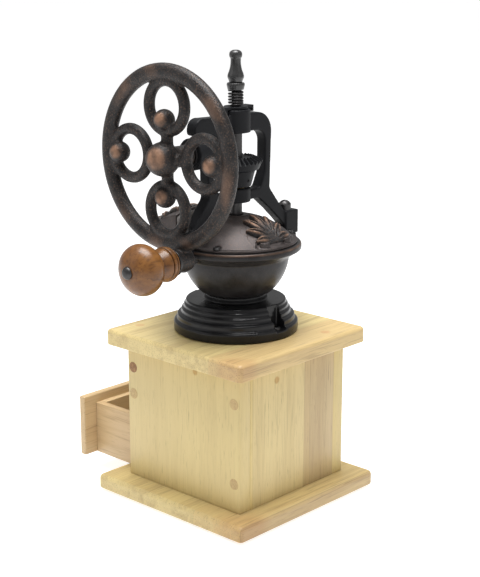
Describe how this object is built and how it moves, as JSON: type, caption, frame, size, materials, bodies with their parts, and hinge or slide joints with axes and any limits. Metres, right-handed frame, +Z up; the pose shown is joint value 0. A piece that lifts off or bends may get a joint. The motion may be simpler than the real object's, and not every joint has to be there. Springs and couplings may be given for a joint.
{
  "type": "hand crank coffee grinder",
  "caption": "Manual coffee mill: wooden drawer box, stepped cast pedestal, domed hopper, bevel-geared burrs and a scrolled hand wheel with a wooden knob.",
  "frame": {"origin": "centre of the flat face the mill rests on", "axes": "+Z up, -Y towards the drawer front, +X towards the hand wheel"},
  "size_m": [0.2145, 0.2248, 0.3615],
  "materials": {
    "felt": "matt felt",
    "pale_wood": "satin",
    "drawer_wood": "satin",
    "dowel_wood": "satin",
    "knob_wood": "gloss varnish",
    "black_cast": "gloss black",
    "bronze_cast": "aged bronze, satin",
    "black_frame": "satin black",
    "dark_steel": "blackened",
    "steel": "machined",
    "burr_iron": "as cast",
    "bush_brass": "turned"
  },
  "bodies": {
    "stand": {"base_felt": "felt", "base_plate": "pale_wood", "side_panel_right": "pale_wood", "side_panel_left": "pale_wood", "back_panel": "pale_wood", "front_rail": "pale_wood", "dowels": "dowel_wood", "top_plate": "pale_wood", "pedestal": "black_cast", "pedestal_screws": "dark_steel", "bowl_screws": "dark_steel", "hopper_bowl": "bronze_cast", "dome_cover": "bronze_cast", "dome_screws": "dark_steel", "outer_burr": "burr_iron", "yoke_frame": "black_frame", "frame_bolts": "dark_steel", "frame_nuts": "dark_steel", "upper_bush": "bush_brass", "lower_bush": "bush_brass", "crank_bush": "bush_brass"},
    "drawer": {"drawer_front": "drawer_wood", "drawer_side_right": "drawer_wood", "drawer_side_left": "drawer_wood", "drawer_inner_front": "drawer_wood", "drawer_back": "drawer_wood", "drawer_bottom": "drawer_wood", "drawer_knob": "knob_wood", "drawer_knob_screw": "steel"},
    "filler_door": {"hopper_door": "bronze_cast"},
    "drive": {"main_shaft": "dark_steel", "crown_gear": "black_frame", "crown_pin": "steel", "inner_burr": "burr_iron", "burr_nut": "steel"},
    "crank": {"crank_shaft": "dark_steel", "bevel_pinion": "black_frame", "pinion_pin": "steel", "crank_washer": "dark_steel", "wheel_set_screw": "dark_steel", "hand_wheel": "bronze_cast", "handle_ferrule": "dark_steel", "knob_spindle": "dark_steel", "knob_cap": "dark_steel"},
    "knob": {"handle_knob": "knob_wood"},
    "lock": {"lock_plate": "black_frame", "adjuster_spring": "dark_steel"},
    "adjuster": {"adjusting_screw": "dark_steel", "spring_collar": "black_frame", "finial_nut": "black_frame"}
  },
  "joints": [
    {"name": "wheel_spin", "type": "hinge", "parent": "stand", "child": "crank", "pos_m": [0.0743, 0, 0.286], "axis": [1, 0, 0], "continuous": true},
    {"name": "shaft_spin", "type": "hinge", "parent": "stand", "child": "drive", "pos_m": [0, 0, 0.25], "axis": [0, 0, 1], "continuous": true},
    {"name": "knob_spin", "type": "hinge", "parent": "crank", "child": "knob", "pos_m": [0.11, 0.01505, 0.21069], "axis": [1, 0, 0], "continuous": true},
    {"name": "drawer_slide", "type": "slide", "parent": "stand", "child": "drawer", "axis": [0, -1, 0], "range_m": [-0.056, 0.035]},
    {"name": "filler_door_slide", "type": "slide", "parent": "stand", "child": "filler_door", "axis": [0, -1, 0], "range_m": [-0.035, 0.001]},
    {"name": "lock_lift", "type": "slide", "parent": "stand", "child": "lock", "axis": [0, 0, 1], "range_m": [0, 0.003], "stiffness_N_per_m": 600, "springref_m": -0.004, "deforming": ["adjuster_spring"]},
    {"name": "adjuster_turn", "type": "hinge", "parent": "stand", "child": "adjuster", "pos_m": [0, 0, 0.33], "axis": [0, 0, 1], "range_deg": [-360, 360]}
  ],
  "couplings": [
    {"joint": "shaft_spin", "follows": "wheel_spin", "ratio": 0.5}
  ]
}
